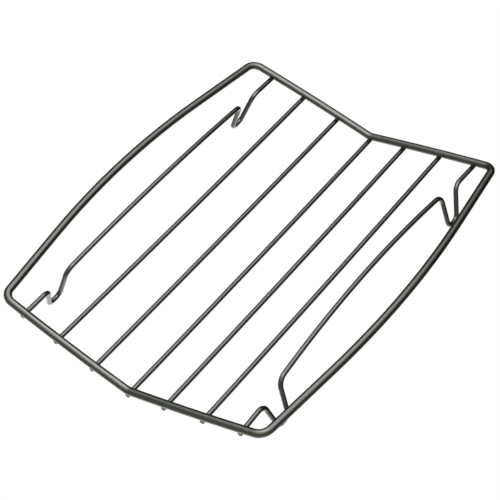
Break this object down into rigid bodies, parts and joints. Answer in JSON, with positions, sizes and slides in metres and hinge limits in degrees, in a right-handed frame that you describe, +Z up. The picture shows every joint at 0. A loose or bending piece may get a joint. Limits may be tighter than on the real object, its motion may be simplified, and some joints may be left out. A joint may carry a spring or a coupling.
{
  "type": "roasting rack",
  "caption": "Shallow V-shaped roasting rack of dark-coated welded wire: a bowed, folded frame with lengthwise rods and bent foot wires that hold a joint of meat above the tin.",
  "frame": {"origin": "on the table under the middle of the rack, midway between the four feet", "axes": "+X across the rack to the right slope, +Y along the crease of the V, +Z up"},
  "size_m": [0.2184, 0.2802, 0.0346],
  "materials": {
    "coating": "satin non-stick coating"
  },
  "bodies": {
    "root": {"frame": "coating", "rod_crease": "coating", "rod_inner_left": "coating", "rod_inner_right": "coating", "rod_outer_left": "coating", "rod_outer_right": "coating", "foot_wire_left": "coating", "foot_wire_right": "coating"}
  },
  "joints": []
}
